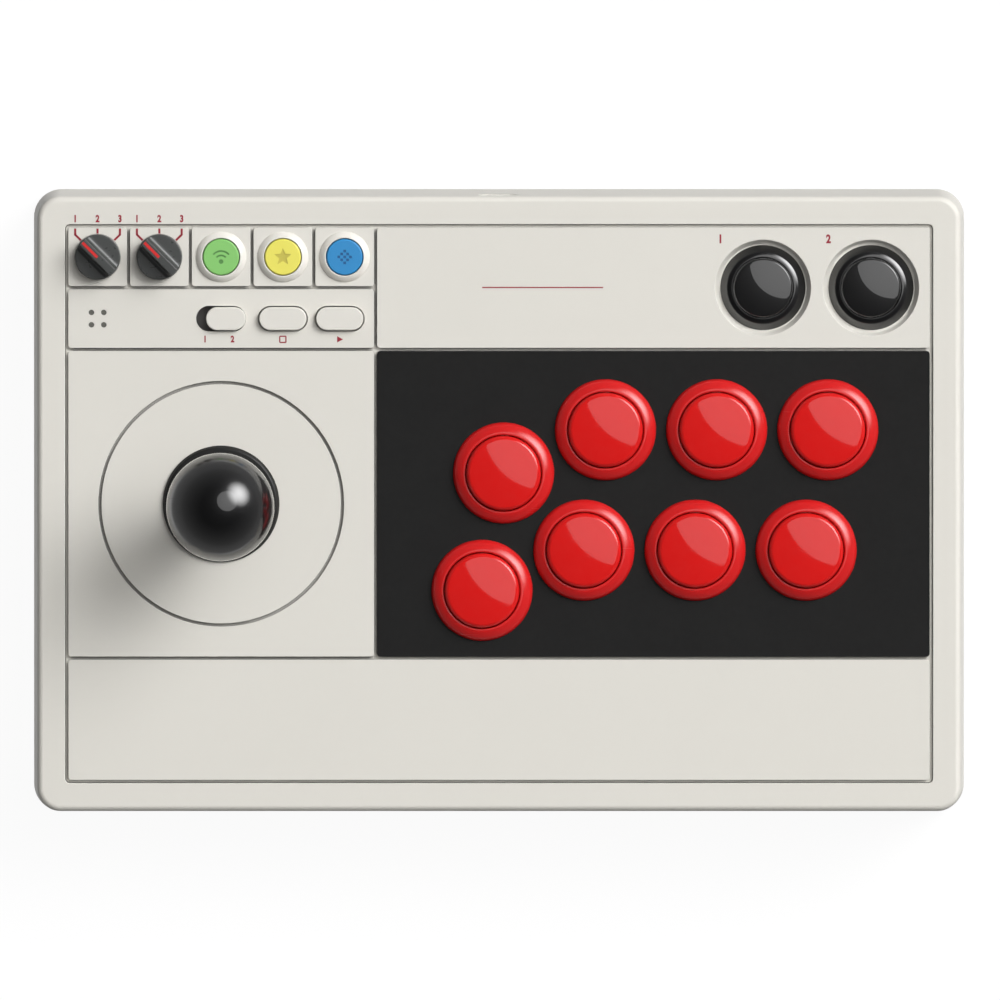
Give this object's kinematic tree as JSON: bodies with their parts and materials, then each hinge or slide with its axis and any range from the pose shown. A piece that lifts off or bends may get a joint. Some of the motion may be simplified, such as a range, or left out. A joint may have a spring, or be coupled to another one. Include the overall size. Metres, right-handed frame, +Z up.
{
  "type": "arcade joystick panel",
  "caption": "Desktop arcade control panel: ball-top lever, round push buttons, rotary selectors, small keys and a slide switch on a grooved plate in a light case.",
  "frame": {"origin": "centre of the footprint at the bottom of the rubber feet, on the table", "axes": "+X to the player's right, +Y away from the player, +Z up"},
  "size_m": [0.3022, 0.2022, 0.1127],
  "materials": {
    "housing_plastic": "fine satin texture",
    "face_paint": "satin powder coat",
    "overlay_black": "matt textured film",
    "base_steel": "black powder coat",
    "foot_rubber": "matt",
    "screw_steel": "zinc plated",
    "ring_white": "high gloss",
    "lens_smoke": "translucent",
    "board_green": "solder mask",
    "switch_black": "moulded",
    "plated_steel": "bright zinc",
    "battery_wrap": "shrink film",
    "connector_ivory": "moulded",
    "cable_sheath": "matt",
    "red_body": "gloss",
    "red_plunger": "high gloss",
    "black_gloss": "high gloss",
    "black_matt": "satin",
    "pivot_nylon": "smooth",
    "green_key": "gloss",
    "yellow_key": "gloss",
    "blue_key": "gloss",
    "key_white": "satin",
    "knob_grey": "satin"
  },
  "bodies": {
    "root": {"top_housing": "housing_plastic", "face_plate": "face_paint", "button_overlay": "overlay_black", "base_plate": "base_steel", "rubber_feet": "foot_rubber", "base_screws": "screw_steel", "key_rings": "ring_white", "indicator_lens": "lens_smoke", "control_board": "board_green", "rotary_switches": "plated_steel", "tact_switches": "switch_black", "slide_switch": "plated_steel", "main_board": "board_green", "usb_socket": "plated_steel", "board_screws": "screw_steel", "battery_pack": "battery_wrap", "battery_tray": "switch_black", "lever_mounting_plate": "plated_steel", "lever_screws": "screw_steel", "lever_housing": "black_matt", "centring_spring": "plated_steel", "lever_switch_board": "board_green", "lever_microswitches": "switch_black", "lever_connector": "connector_ivory", "gate_plate": "connector_ivory", "action_button_bodies": "red_body", "macro_button_bodies": "black_gloss", "action_microswitches": "switch_black", "macro_microswitches": "switch_black", "lever_cable": "cable_sheath", "control_cable": "cable_sheath", "battery_lead": "cable_sheath", "switch_loom": "cable_sheath"},
    "action_plunger_1": {"action_plunger_1": "red_plunger"},
    "action_plunger_2": {"action_plunger_2": "red_plunger"},
    "action_plunger_3": {"action_plunger_3": "red_plunger"},
    "action_plunger_4": {"action_plunger_4": "red_plunger"},
    "action_plunger_5": {"action_plunger_5": "red_plunger"},
    "action_plunger_6": {"action_plunger_6": "red_plunger"},
    "action_plunger_7": {"action_plunger_7": "red_plunger"},
    "action_plunger_8": {"action_plunger_8": "red_plunger"},
    "macro_plunger_1": {"macro_plunger_1": "black_gloss"},
    "macro_plunger_2": {"macro_plunger_2": "black_gloss"},
    "green_key": {"green_key": "green_key"},
    "yellow_key": {"yellow_key": "yellow_key"},
    "blue_key": {"blue_key": "blue_key"},
    "select_key": {"select_key": "key_white"},
    "start_key": {"start_key": "key_white"},
    "slider": {"slider_cap": "key_white"},
    "mode_knob": {"mode_knob": "knob_grey"},
    "output_knob": {"output_knob": "knob_grey"},
    "spring_seat": {"spring_seat": "black_matt"},
    "lever": {"ball_top": "black_gloss", "lever_shaft": "plated_steel", "shaft_cover": "black_matt", "pivot_ball": "pivot_nylon", "actuator": "black_matt", "retaining_ring": "screw_steel"},
    "washer_slide": {"washer_slide": "black_matt"},
    "dust_washer": {"dust_washer": "black_matt"}
  },
  "joints": [
    {"name": "action_plunger_1_press", "type": "slide", "parent": "root", "child": "action_plunger_1", "axis": [0, 0, 1], "range_m": [-0.003, 0], "stiffness_N_per_m": 270, "springref_m": 0.002},
    {"name": "action_plunger_2_press", "type": "slide", "parent": "root", "child": "action_plunger_2", "axis": [0, 0, 1], "range_m": [-0.003, 0], "stiffness_N_per_m": 270, "springref_m": 0.002},
    {"name": "action_plunger_3_press", "type": "slide", "parent": "root", "child": "action_plunger_3", "axis": [0, 0, 1], "range_m": [-0.003, 0], "stiffness_N_per_m": 270, "springref_m": 0.002},
    {"name": "action_plunger_4_press", "type": "slide", "parent": "root", "child": "action_plunger_4", "axis": [0, 0, 1], "range_m": [-0.003, 0], "stiffness_N_per_m": 270, "springref_m": 0.002},
    {"name": "action_plunger_5_press", "type": "slide", "parent": "root", "child": "action_plunger_5", "axis": [0, 0, 1], "range_m": [-0.003, 0], "stiffness_N_per_m": 270, "springref_m": 0.002},
    {"name": "action_plunger_6_press", "type": "slide", "parent": "root", "child": "action_plunger_6", "axis": [0, 0, 1], "range_m": [-0.003, 0], "stiffness_N_per_m": 270, "springref_m": 0.002},
    {"name": "action_plunger_7_press", "type": "slide", "parent": "root", "child": "action_plunger_7", "axis": [0, 0, 1], "range_m": [-0.003, 0], "stiffness_N_per_m": 270, "springref_m": 0.002},
    {"name": "action_plunger_8_press", "type": "slide", "parent": "root", "child": "action_plunger_8", "axis": [0, 0, 1], "range_m": [-0.003, 0], "stiffness_N_per_m": 270, "springref_m": 0.002},
    {"name": "macro_plunger_1_press", "type": "slide", "parent": "root", "child": "macro_plunger_1", "axis": [0, 0, 1], "range_m": [-0.003, 0], "stiffness_N_per_m": 270, "springref_m": 0.002},
    {"name": "macro_plunger_2_press", "type": "slide", "parent": "root", "child": "macro_plunger_2", "axis": [0, 0, 1], "range_m": [-0.003, 0], "stiffness_N_per_m": 270, "springref_m": 0.002},
    {"name": "green_key_press", "type": "slide", "parent": "root", "child": "green_key", "axis": [0, 0, 1], "range_m": [-0.0006, 0], "stiffness_N_per_m": 400, "springref_m": 0.0006},
    {"name": "yellow_key_press", "type": "slide", "parent": "root", "child": "yellow_key", "axis": [0, 0, 1], "range_m": [-0.0006, 0], "stiffness_N_per_m": 400, "springref_m": 0.0006},
    {"name": "blue_key_press", "type": "slide", "parent": "root", "child": "blue_key", "axis": [0, 0, 1], "range_m": [-0.0006, 0], "stiffness_N_per_m": 400, "springref_m": 0.0006},
    {"name": "select_key_press", "type": "slide", "parent": "root", "child": "select_key", "axis": [0, 0, 1], "range_m": [-0.0006, 0], "stiffness_N_per_m": 400, "springref_m": 0.0006},
    {"name": "start_key_press", "type": "slide", "parent": "root", "child": "start_key", "axis": [0, 0, 1], "range_m": [-0.0006, 0], "stiffness_N_per_m": 400, "springref_m": 0.0006},
    {"name": "slider_move", "type": "slide", "parent": "root", "child": "slider", "axis": [1, 0, 0], "range_m": [-0.0031, 0]},
    {"name": "mode_knob_turn", "type": "hinge", "parent": "root", "child": "mode_knob", "pos_m": [-0.13, 0.08, 0.052], "axis": [0, 0, 1], "range_deg": [-90, 0]},
    {"name": "output_knob_turn", "type": "hinge", "parent": "root", "child": "output_knob", "pos_m": [-0.11, 0.08, 0.052], "axis": [0, 0, 1], "range_deg": [-90, 0]},
    {"name": "lever_tilt_x", "type": "hinge", "parent": "root", "child": "spring_seat", "pos_m": [-0.09, 0, 0.034], "axis": [1, 0, 0], "range_deg": [-8.5, 8.5], "stiffness_Nm_per_rad": 0.8, "deforming": ["centring_spring"]},
    {"name": "lever_tilt_y", "type": "hinge", "parent": "spring_seat", "child": "lever", "pos_m": [-0.09, 0, 0.034], "axis": [0, 1, 0], "range_deg": [-8.5, 8.5], "stiffness_Nm_per_rad": 0.8},
    {"name": "washer_slide_x", "type": "slide", "parent": "root", "child": "washer_slide", "axis": [1, 0, 0], "range_m": [-0.003, 0.003]},
    {"name": "dust_washer_y", "type": "slide", "parent": "washer_slide", "child": "dust_washer", "axis": [0, 1, 0], "range_m": [-0.003, 0.003]}
  ],
  "couplings": [
    {"joint": "washer_slide_x", "follows": "lever_tilt_y", "m_per_rad": 0.019},
    {"joint": "dust_washer_y", "follows": "lever_tilt_x", "m_per_rad": -0.019}
  ]
}
